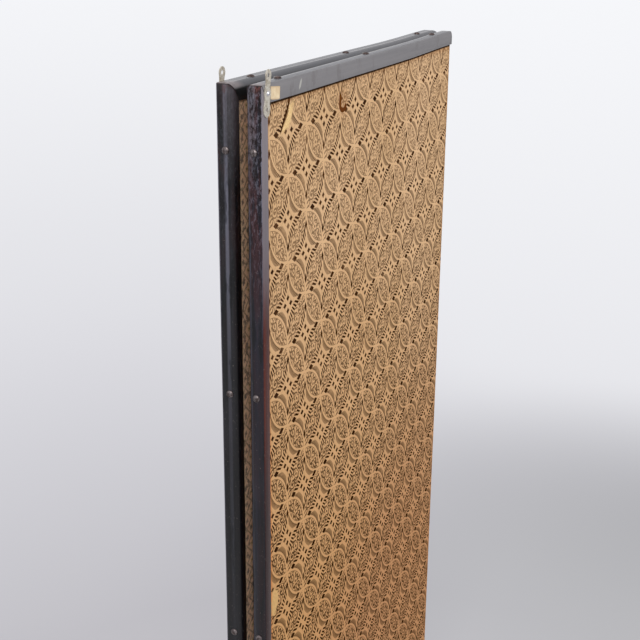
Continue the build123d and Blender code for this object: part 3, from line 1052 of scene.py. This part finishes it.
# %% The torn flap
def add_flap(sheet):
    """A curled tongue of torn paper, joined to the sheet it hangs from."""
    deselect_all()
    bpy.ops.mesh.primitive_grid_add(
        x_subdivisions=8,
        y_subdivisions=20,
        size=1,
        location=(TEAR_X, PAPER_BACK, TEAR_HEIGHT),
        rotation=(math.radians(90), 0, 0),
    )
    flap = named(bpy.context.object, "torn_flap")
    flap.scale = (FLAP_WIDTH, FLAP_LENGTH, 1)
    settle(flap)
    # The free edge is drawn out in points and rolled over: the place along it as a
    # share of its length, the move there and how far the move reaches.
    x = TEAR_X + FLAP_WIDTH / 2
    for up, move, reach in (
        (-0.50, (-5 * MM, 0, 0), 14 * MM),
        (0.50, (-4 * MM, 0, 0), 10 * MM),
        (-0.16, (4 * MM, 0, -3 * MM), 7 * MM),
        (0.00, (-2.5 * MM, -3.6 * MM, 0), 20 * MM),
        (-0.34, (-3.5 * MM, -1.2 * MM, 0), 8 * MM),
    ):
        z = TEAR_HEIGHT + up * FLAP_LENGTH
        nearest = min(flap.data.vertices, key=lambda v: abs(v.co.x - x) + abs(v.co.z - z)).index
        pull(flap, lambda v: v.index == nearest, move, reach)
    displace(flap, cockling_fine, 2 * MM, 0.6, "Y")
    add_and_apply(flap, "SOLIDIFY", thickness=FLAP_THICKNESS, offset=-1.0)
    pick(flap, "verts", lambda v: True)
    bpy.ops.transform.rotate(
        value=-TEAR_LEAN,
        orient_axis="Y",
        center_override=(TEAR_X, PAPER_BACK, TEAR_HEIGHT),
    )
    done_editing()
    facing_out(flap, 60)
    keep_place(flap)
    flap.data.materials.append(sheet.data.materials[0])
    activate(sheet)
    flap.select_set(True)
    bpy.ops.object.join()
    print(sheet.name, "has its torn flap:", len(sheet.data.polygons), "faces")


# %% The back papers
back_sheet = sheet_of_paper(
    "back_paper", (CORE_LEFT, CORE_LOW), (CORE_RIGHT, CORE_HIGH), PAPER_BACK, (70, 140), 0.5 * MM
)
back_sheet = bow_up(back_sheet)
near_sheet, _ = on_both_leaves(back_sheet, "back_paper", near_print, rear_print)
add_flap(near_sheet)

# %% [markdown]
# ## Brocade border and gold field
#
# The picture side has a plain gold-leaf field, left without a picture, inside a border
# of patterned silk. The brocade is written as a diamond lattice with a small flower in
# each diamond, woven over fine ribs. The gold is laid in squares a hand wide, so each
# square differs a little in tone, and the laps between them show as brighter lines.

# %% Brocade and gold
DIAMOND, WEFT, WARP = 13 * MM, 0.9 * MM, 0.7 * MM
LEAF_SQUARE = (106 * MM, 103 * MM)
LIT_GAP_EDGE = -353.5 * MM


def brocade(name, light, shade):
    finish = Finish(name)
    place = finish.leaf_place()
    x, _, z = finish.parts(place)
    rows, ribs = z / DIAMOND, x / DIAMOND
    s, t = (ribs + rows) * 0.5, (rows - ribs) * 0.5
    fs, ft = wrapped(s), wrapped(t)
    lattice = fs.abs().most(ft.abs())
    line = lattice.above(0.435, 0.05)
    across, up = fs - ft, fs + ft
    reach = (across * across + up * up).root()
    turn = across.math("ARCTAN2", up)
    petals = 0.27 + (turn * 4.0).sine() * 0.07
    flower = (reach - petals).below(0.0, 0.05)
    heart = reach.below(0.09, 0.04)
    odd = ((s.math("FLOOR") + t.math("FLOOR")) * 0.5).math("FRACT").above(0.25, 0.01)
    weft = (z * (math.tau / WEFT)).sine()
    warp = (x * (math.tau / WARP)).sine()
    faded = finish.noise(place, 14.0, 4.0, 0.6)
    mould = finish.noise(place, (150, 150, 110), 4.0, 0.7)
    colour = finish.layers(
        finish.mix(faded, light, shade),
        (line * 0.6, (92, 66, 40)),
        (flower * 0.85, finish.mix(odd, (196, 158, 96), (118, 86, 66))),
        (heart, (86, 52, 40)),
        ((weft * 0.5 + 0.5) * 0.18, (70, 50, 34)),
        # painted light: lighter toward the free edge, where light enters the gap between the leaves
        (x.below(LIT_GAP_EDGE, 9 * MM) * 0.6, (226, 196, 158)),
        (mould.above(0.56, 0.06) * 0.75, (60, 46, 38)),
    )
    height = weft * 0.35 + warp * 0.2 + flower * 0.7 + line * 0.3
    return finish.surface(
        Base_Color=colour,
        Roughness=0.55 + flower * -0.12,
        Sheen_Weight=0.25,
        Sheen_Roughness=0.4,
        Normal=finish.bump(height, 0.15 * MM, 0.6),
    )


# %% Gold leaf
def gold_leaf(name, seed):
    finish = Finish(name)
    place = finish.leaf_place()
    x, _, z = finish.parts(place)
    wander = finish.noise(place, (6, 6, 6), 2.0, shift=(seed, 0, 0)) * 0.004
    row = (z + wander) / LEAF_SQUARE[1]
    column = (x + wander) / LEAF_SQUARE[0] + row.math("FLOOR") * 0.37
    edge = wrapped(row).abs().most(wrapped(column).abs())
    lap = edge.above(0.484, 0.006)
    square = finish.vector(row.math("FLOOR"), column.math("FLOOR"), seed)
    tone = finish.node("ShaderNodeTexWhiteNoise", inputs={"Vector": square})
    worn = finish.noise(place, (70, 70, 70), 5.0, 0.7, shift=(0, 0, seed))
    rubbed = worn.above(0.68, 0.08)
    colour = finish.layers(
        finish.mix(tone, (196, 158, 84), (212, 176, 104)),
        (lap * 0.6, (226, 194, 122)),
        (rubbed * 0.5, (150, 92, 56)),
    )
    return finish.surface(
        Base_Color=colour,
        Metallic=0.75 - rubbed * 0.6,
        Roughness=0.38 + worn * 0.25,
        Normal=finish.bump(lap * 0.4 + worn * 0.3, 0.05 * MM, 0.5),
    )


# The rear copy is painted lighter than the near one, standing in for light that reaches it in the
# gap between the leaves.
near_brocade = brocade("near_brocade", (200, 162, 122), (170, 130, 96))
rear_brocade_painted_lighter = brocade("rear_brocade_painted_lighter", (250, 212, 172), (222, 168, 126))
near_gold = gold_leaf("near_gold_leaf", 3.0)
rear_gold = gold_leaf("rear_gold_leaf", 8.0)
print("front finishes", near_brocade.name, rear_brocade_painted_lighter.name, near_gold.name, rear_gold.name)

# %% Border strips and picture field
FIELD_LEFT, FIELD_RIGHT = CORE_LEFT + BORDER, CORE_RIGHT - BORDER
FIELD_LOW, FIELD_HIGH = CORE_LOW + BORDER, CORE_HIGH - BORDER
FIELD_CORNERS = (FIELD_LEFT, FIELD_LOW), (FIELD_RIGHT, FIELD_HIGH)
field = sheet_of_paper("picture_field", *FIELD_CORNERS, PAPER_FRONT, (50, 100), 0.2 * MM)
on_both_leaves(field, "picture_field", near_gold, rear_gold)
JOIN = 0.05 * MM
strips = [
    ((CORE_LEFT, CORE_LOW), (FIELD_LEFT - JOIN, CORE_HIGH), (3, 120)),
    ((FIELD_RIGHT + JOIN, CORE_LOW), (CORE_RIGHT, CORE_HIGH), (3, 120)),
    ((FIELD_LEFT, CORE_LOW), (FIELD_RIGHT, FIELD_LOW - JOIN), (60, 3)),
    ((FIELD_LEFT, FIELD_HIGH + JOIN), (FIELD_RIGHT, CORE_HIGH), (60, 3)),
]
border_strips = [
    sheet_of_paper("border_strip", low, high, PAPER_FRONT, cells, 0.25 * MM)
    for low, high, cells in strips
]


def joined(pieces, name):
    """Joins pieces into one object, with each still a closed shell of its own."""
    deselect_all()
    for piece in pieces:
        piece.select_set(True)
    bpy.context.view_layer.objects.active = pieces[0]
    bpy.ops.object.join()
    return named(pieces[0], name)


border = joined(border_strips, "border")
on_both_leaves(border, "border", near_brocade, rear_brocade_painted_lighter)

# %% [markdown]
# ## Nails and screws
#
# The frame is held to the core by long nails with low domed heads, and each hanging
# plate by one slotted round-head screw. Both start as a sphere that is flattened and
# cut in half. The flat underside is then inset and extruded into the shank, so a head
# and its shank are one closed mesh. A nail is modelled once and copied to each seat,
# turned by its own small angle.


# %% Nails and screws
def headed_shank(name, head_radius, head_height, shank_radius, shank_length):
    """A domed head that stands on z = 0 with its shank below."""
    deselect_all()
    bpy.ops.mesh.primitive_uv_sphere_add(segments=28, ring_count=16, radius=head_radius)
    piece = named(bpy.context.object, name)
    piece.scale = (1, 1, head_height / head_radius)
    settle(piece)
    saw(piece, (0, 0, 0), (0, 0, -1))
    pick(piece, "faces", lambda face: face.normal.z < -0.99)
    bpy.ops.mesh.inset(thickness=head_radius - shank_radius)
    for share in (0.8, 0.2):
        down = (0, 0, -shank_length * share)
        bpy.ops.mesh.extrude_region_move(TRANSFORM_OT_translate={"value": down})
    # The last fifth of the shank is drawn to a point.
    bpy.ops.transform.resize(value=(0.12, 0.12, 1))
    done_editing()
    return facing_out(piece, 40)


def seat(point, turn):
    """Stands a headed piece on a point, with its head facing along the turned Z axis."""
    return Matrix.Translation(point) @ turn


def set_out(piece, seats, name):
    """Copies a piece to each seat, joins the copies and removes the pattern piece."""
    copies = []
    for place in seats:
        activate(piece)
        bpy.ops.object.duplicate()
        copy = bpy.context.object
        copy.data.transform(place)
        copies.append(copy)
    bpy.data.objects.remove(piece)
    return joined(copies, name)


# %% Setting out the nails
random.seed(11)
# Head radius and height, shank radius and length.
NAIL_SIZES = (5.0 * MM, 2.6 * MM, 1.0 * MM, 33.0 * MM)
SCREW_SIZES = (3.2 * MM, 1.9 * MM, 1.4 * MM, 13 * MM)
NAIL_HEIGHTS = (80 * MM, 395 * MM, 750 * MM, 1105 * MM, 1420 * MM)
NAIL_PLACES = (FREE + 68 * MM, FREE + 368 * MM, FOLD - 80 * MM)
TO_SIDE = Matrix.Rotation(math.radians(-90), 4, "Y")


def a_little_turned():
    spin = Matrix.Rotation(random.uniform(0, math.tau), 4, "Z")
    return Matrix.Rotation(math.radians(random.uniform(-3, 3)), 4, "X") @ spin


side_seats = [seat((FREE, 0, z), TO_SIDE @ a_little_turned()) for z in NAIL_HEIGHTS]
top_seats = [seat((x, 0, LEAF_HEIGHT + bow_at(x)), a_little_turned()) for x in NAIL_PLACES]
nail = headed_shank("nail", *NAIL_SIZES)
top_nail = headed_shank("top_nail", *NAIL_SIZES)
stile_nails = set_out(nail, side_seats, "stile_nails")
top_nails = set_out(top_nail, top_seats, "top_nails")


# %% Nail metal
def aged_metal(name, light, dark, roughness, metallic, scale):
    finish = Finish(name)
    place = finish.leaf_place()
    spread = finish.noise(place, scale, 4.0, 0.65)
    speckle = finish.noise(place, scale * 9, 3.0, 0.6)
    tarnish = (spread * 0.7 + speckle * 0.3).above(0.5, 0.22)
    colour = finish.mix(tarnish, light, dark)
    return finish.surface(
        Base_Color=colour,
        Metallic=metallic,
        Roughness=roughness + tarnish * 0.18,
        Normal=finish.bump(spread * 0.7 + speckle * 0.3, 0.2 * MM, 0.5),
    )


nail_metal = aged_metal("nail_iron", (132, 124, 124), (62, 50, 48), 0.26, 0.85, 320.0)
on_both_leaves(stile_nails, "stile_nails", nail_metal, nail_metal)
rusted_nail = aged_metal("rusted_nail", (98, 82, 78), (46, 36, 34), 0.38, 0.7, 320.0)
on_both_leaves(top_nails, "top_nails", rusted_nail, rusted_nail)

# %% [markdown]
# ## Hanging plates
#
# A hanging plate is stamped from sheet metal as three round lobes in a row. The lobes
# are cylinders. Each waist between them is a block whose two sides are hollowed by a
# cylinder that touches both lobes, so the outline runs on without a corner. The eyes
# are cut, and a bevel eases the stamped edge.

# %% Hanging plates
PLATE = 1.2 * MM
LOBES = ((21 * MM, 7.2 * MM), (0.0, 8.8 * MM), (-19 * MM, 8.6 * MM))
HOLLOW = 16 * MM
TIP = 28.5 * MM
EYE, LOWER_EYE, SCREW_HOLE = 2.85 * MM, 2.4 * MM, 1.45 * MM
LEAN = math.radians(7)
PLATE_PLACE = (FREE + 14.5 * MM, BACK, LEAF_HEIGHT - 11.2 * MM)
PLATE_SEAT = Matrix.Translation(PLATE_PLACE) @ Matrix(
    (
        (math.cos(LEAN), math.sin(LEAN), 0, 0),
        (0, 0, -1, 0),
        (-math.sin(LEAN), math.cos(LEAN), 0, 0),
        (0, 0, 0, 1),
    )
)


def disc(name, at, radius, low, high):
    deselect_all()
    x, y = at
    bpy.ops.mesh.primitive_cylinder_add(
        vertices=64, radius=radius, depth=high - low, location=(x, y, (low + high) / 2)
    )
    return settle(named(bpy.context.object, name))


# %% The waists and the foot
def waist(first, second):
    """The hollow-sided neck between two lobes, each given as its height and radius."""
    (y1, r1), (y2, r2) = first, second
    gap = y1 - y2
    far, near = r1 + HOLLOW, r2 + HOLLOW
    up = (near * near - far * far + gap * gap) / (2 * gap)
    out = math.sqrt(near * near - up * up)
    low, high = y2 + r2 * up / near, y1 - r1 * (gap - up) / far
    half = r2 * out / near
    neck = block("neck", (-half, low, 0), (half, high, PLATE))
    for side in (-1, 1):
        cut(neck, disc("hollow", (side * out, y2 + up), HOLLOW, -PLATE, 2 * PLATE))
    return neck


def pointed_foot():
    """Two flanks that touch the lowest lobe and meet in the plate's tip."""
    height, radius = LOBES[2]
    reach = height + TIP
    up, out = radius * radius / reach, radius * math.sqrt(1 - (radius / reach) ** 2)
    foot = block("foot", (-out, -TIP, 0), (out, height - up, PLATE))
    pick(foot, "verts", lambda v: v.co.y < -TIP + 0.1 * MM)
    bpy.ops.transform.resize(value=(0.1, 1, 1), center_override=(0, 0, 0))
    done_editing()
    return foot


# %% The whole plate
def make_plate():
    piece = disc("hanging_plate", (0, LOBES[1][0]), LOBES[1][1], 0, PLATE)
    for height, radius in (LOBES[0], LOBES[2]):
        cut(piece, disc("lobe", (0, height), radius, 0, PLATE), "UNION")
    cut(piece, waist(LOBES[0], LOBES[1]), "UNION")
    cut(piece, waist(LOBES[1], LOBES[2]), "UNION")
    cut(piece, pointed_foot(), "UNION")
    for height, radius in ((LOBES[0][0], EYE), (0, SCREW_HOLE), (LOBES[2][0], LOWER_EYE)):
        cut(piece, disc("eye", (0, height), radius, -PLATE, 2 * PLATE))
    sharp = math.radians(60)
    add_and_apply(
        piece, "BEVEL", width=0.28 * MM, segments=3, limit_method="ANGLE", angle_limit=sharp
    )
    piece.data.transform(PLATE_SEAT)
    return facing_out(piece, 40)


plate = make_plate()
plate_metal = aged_metal("plate_metal", (216, 210, 198), (160, 150, 134), 0.36, 0.65, 190.0)
on_both_leaves(plate, "hanging_plate", plate_metal, plate_metal)


# %% The screw
def make_screw():
    piece = headed_shank("plate_screw", *SCREW_SIZES)
    slot = block("slot", (-4 * MM, -0.4 * MM, 1.2 * MM), (4 * MM, 0.4 * MM, 4 * MM))
    slot.data.transform(Matrix.Rotation(math.radians(34), 4, "Z"))
    cut(piece, slot)
    piece.data.transform(PLATE_SEAT @ Matrix.Translation((0, 0, PLATE)))
    return facing_out(piece, 40)


screw_metal = aged_metal("screw_metal", (214, 214, 220), (150, 150, 158), 0.24, 0.9, 260.0)
on_both_leaves(make_screw(), "plate_screw", screw_metal, screw_metal)

# %% [markdown]
# ## Tag
#
# A blank paper tag is pasted on the near leaf's top rail. Its edge is a little ragged
# and its lower corner has lifted, so it is a fine grid that a soft displacement and a
# proportional move of one corner take out of flat.

# %% Tag
TAG_WIDTH, TAG_HEIGHT = 26 * MM, 15.5 * MM
TAG_PLACE = (FREE + 24 * MM + TAG_WIDTH / 2, 0, LEAF_HEIGHT - 13.2 * MM)
TAG_LEAN = math.radians(6)
TAG_HIGH = (TAG_WIDTH / 2, TAG_HEIGHT / 2)
TAG_LOW = (-TAG_HIGH[0], -TAG_HIGH[1])


def make_tag():
    tag = sheet_of_paper("tag", TAG_LOW, TAG_HIGH, BACK - 0.28 * MM, (30, 24), 0.05 * MM)
    corners = (
        ((TAG_HIGH[0], TAG_LOW[1]), (-1.2 * MM, -0.5 * MM, 0.9 * MM), 5 * MM),
        ((TAG_LOW[0], TAG_LOW[1]), (0.3 * MM, -0.2 * MM, 0.5 * MM), 6 * MM),
        ((TAG_HIGH[0], TAG_HIGH[1]), (-0.3 * MM, 0, -0.3 * MM), 4 * MM),
    )
    for (x, z), shift, reach in corners:
        pull(
            tag,
            lambda v: abs(v.co.x - x) < 0.3 * MM and abs(v.co.z - z) < 0.3 * MM,
            shift,
            reach,
        )
    keep_place(tag)
    tag.data.transform(Matrix.Translation(TAG_PLACE) @ Matrix.Rotation(TAG_LEAN, 4, "Y"))
    return facing_out(tag, 50)


def tag_finish():
    finish = Finish("tag_paper")
    place = finish.leaf_place()
    x, _, z = finish.parts(place)
    cloud = finish.noise(place, 110.0, 4.0, 0.6)
    fibres = finish.noise(place, (900, 900, 2500), 3.0)
    side = (x - TAG_LOW[0]).least(TAG_HIGH[0] - x).least(z - TAG_LOW[1]).least(TAG_HIGH[1] - z)
    soiled = (side + (cloud - 0.5) * 0.004).below(0.001, 0.003)
    colour = finish.mix(cloud.above(0.5, 0.4), (222, 202, 168), (204, 178, 142))
    colour = finish.mix(soiled * 0.5, colour, (160, 126, 88))
    return finish.surface(
        Base_Color=colour, Roughness=0.75, Normal=finish.bump(fibres + cloud, 0.06 * MM, 0.5)
    )


tag = make_tag()
named(tag, "near_tag_visual")
stands_for(tag, tag_finish(), "near_leaf", "near_tag")

# %% [markdown]
# ## The paper hinge
#
# Six strips of paper cross the fold, one above the other. Each covers the end of one
# leaf and passes over the fold to the front corner of the other, and the next strip
# does the opposite. Folded front to front, the leaves turn about the strips' front
# creases, and back to back about their back edges. A strip is a plane that is extruded
# from crease to crease and then given its thickness, so that each flat stays flat.

# %% Hinge strips
STRIP_X = 376.4 * MM
STRIP = 0.36 * MM
ZONE = (CORE_HIGH - CORE_LOW) / 6
ZONE_GAP = 3 * MM
LAP_END = PAPER_FRONT - 3 * MM
# In plan: each strip bends outwards a little before its crease on the fold's axis.
TO_CREASE = ((STRIP_X, FOLD_Y - 1.4 * MM), (FOLD_X, FOLD_Y))
ACROSS_END = ((STRIP_X, PAPER_BACK), *TO_CREASE)
FRONT_TAIL = ((STRIP_X, LAP_END), *TO_CREASE)


def creased_strip(profile, low, high):
    """Extrudes the profile's points, given in plan, from one height to another."""
    first, second = Vector((*profile[0], 0)), Vector((*profile[1], 0))
    run = second - first
    middle_point = (first + second) / 2 + Vector((0, 0, (low + high) / 2))
    turn = Matrix((run.normalized(), (0, 0, 1), run.normalized().cross((0, 0, 1)))).transposed()
    deselect_all()
    bpy.ops.mesh.primitive_plane_add(size=1)
    piece = named(bpy.context.object, "strip")
    piece.data.transform(Matrix.Diagonal((run.length, high - low, 1, 1)))
    piece.data.transform(Matrix.Translation(middle_point) @ turn.to_4x4())
    at = second
    for point in profile[2:]:
        step = Vector((*point, 0)) - at
        pick(
            piece,
            "edges",
            lambda edge: along(edge, 2) and (middle(edge).xy - at.xy).length < 0.01 * MM,
        )
        bpy.ops.mesh.extrude_region_move(TRANSFORM_OT_translate={"value": step})
        done_editing()
        at = at + step
    add_and_apply(piece, "SOLIDIFY", thickness=STRIP, offset=0.0)
    return facing_out(piece, 15)


def zone_strips(profile, zones):
    return [
        creased_strip(
            profile,
            CORE_LOW + zone * ZONE + ZONE_GAP / 2,
            CORE_LOW + (zone + 1) * ZONE - ZONE_GAP / 2,
        )
        for zone in zones
    ]


# %% Hinge paper, and the strips in their places
def hinge_paper():
    finish = Finish("hinge_paper")
    place = finish.leaf_place()
    fibres = finish.noise(place, (800, 800, 2200), 3.0)
    cloud = finish.noise(place, 40.0, 4.0, 0.6)
    creases = finish.noise(place, (30, 30, 160), 4.0, 0.7, 0.8)
    colour = finish.mix(cloud, (198, 160, 112), (160, 122, 80))
    colour = finish.mix(creases.above(0.62, 0.1) * 0.5, colour, (116, 84, 54))
    return finish.surface(
        Base_Color=colour, Roughness=0.8, Normal=finish.bump(fibres * 0.4 + creases, 0.2 * MM, 0.5)
    )


hinge_finish = hinge_paper()
LOW_SET, HIGH_SET = (0, 2, 4), (1, 3, 5)
back_bands = joined(zone_strips(ACROSS_END, LOW_SET), "back_fold_strips")
front_bands = joined(zone_strips(ACROSS_END, HIGH_SET), "front_fold_strips")
near_tails = joined(zone_strips(FRONT_TAIL, HIGH_SET), "near_strip_ends")
rear_tails = joined(zone_strips(FRONT_TAIL, LOW_SET), "rear_strip_ends")
for piece in (back_bands, front_bands, near_tails, rear_tails):
    keep_place(piece)
on_rear(front_bands)
on_rear(rear_tails)
for piece, body, node in (
    (back_bands, "back_bands", "back_fold_bands"),
    (front_bands, "front_bands", "front_fold_bands"),
    (near_tails, "near_leaf", "near_band_tails"),
    (rear_tails, "rear_leaf", "rear_band_tails"),
):
    stands_for(piece, hinge_finish, body, node)

# %% [markdown]
# ## What lies inside
#
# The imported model's own core members, laths, linings and foot nails have the right
# shape already, so they keep it and only get their finishes: pale straight-grained
# softwood, thin lining paper and plain iron.


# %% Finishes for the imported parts
def softwood(name, run):
    finish = Finish(name)
    place = finish.place()
    rings = finish.noise(place, stretched(run, 3.0, 130.0), 3.0, 0.55, 0.4)
    pores = finish.noise(place, stretched(run, 24.0, 1040.0), 2.0)
    broad = finish.noise(place, 9.0, 3.0)
    colour = finish.mix(rings.above(0.5, 0.3), (214, 182, 138), (178, 140, 96))
    colour = finish.mix(broad * 0.4, colour, (164, 124, 84))
    return finish.surface(
        Base_Color=colour,
        Roughness=0.6 + pores * 0.2,
        Normal=finish.bump(rings * 0.4 + pores * 0.4, 0.2 * MM, 0.5),
    )


def lining_paper():
    finish = Finish("lining_paper")
    place = finish.place()
    fibres = finish.noise(place, (500, 500, 1500), 4.0)
    cloud = finish.noise(place, 12.0, 4.0, 0.6)
    colour = finish.mix(cloud, (222, 206, 176), (198, 176, 140))
    return finish.surface(
        Base_Color=colour, Roughness=0.82, Normal=finish.bump(fibres, 0.1 * MM, 0.5)
    )


def foot_iron():
    finish = Finish("foot_iron")
    place = finish.place()
    rust = finish.noise(place, 420.0, 4.0, 0.65)
    colour = finish.mix(rust.above(0.5, 0.2), (92, 84, 80), (96, 62, 44))
    return finish.surface(
        Base_Color=colour,
        Metallic=0.7,
        Roughness=0.45 + rust * 0.2,
        Normal=finish.bump(rust, 0.15 * MM, 0.5),
    )


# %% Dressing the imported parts
upright_wood, level_wood = softwood("upright_softwood", 2), softwood("level_softwood", 0)
lining, foot_metal = lining_paper(), foot_iron()
packed_finishes = {
    "core_free_stile": upright_wood,
    "core_fold_stile": upright_wood,
    "upright_laths": upright_wood,
    "core_top_rail": level_wood,
    "core_bottom_rail": level_wood,
    "cross_laths": level_wood,
    "back_lining": lining,
    "front_lining": lining,
    "bottom_nails": foot_metal,
}
for leaf in ("near_", "rear_"):
    for base, finish in packed_finishes.items():
        packed = nodes[leaf + base]
        packed.data.materials.clear()
        packed.data.materials.append(finish)
print("packed parts finished", 2 * len(packed_finishes))
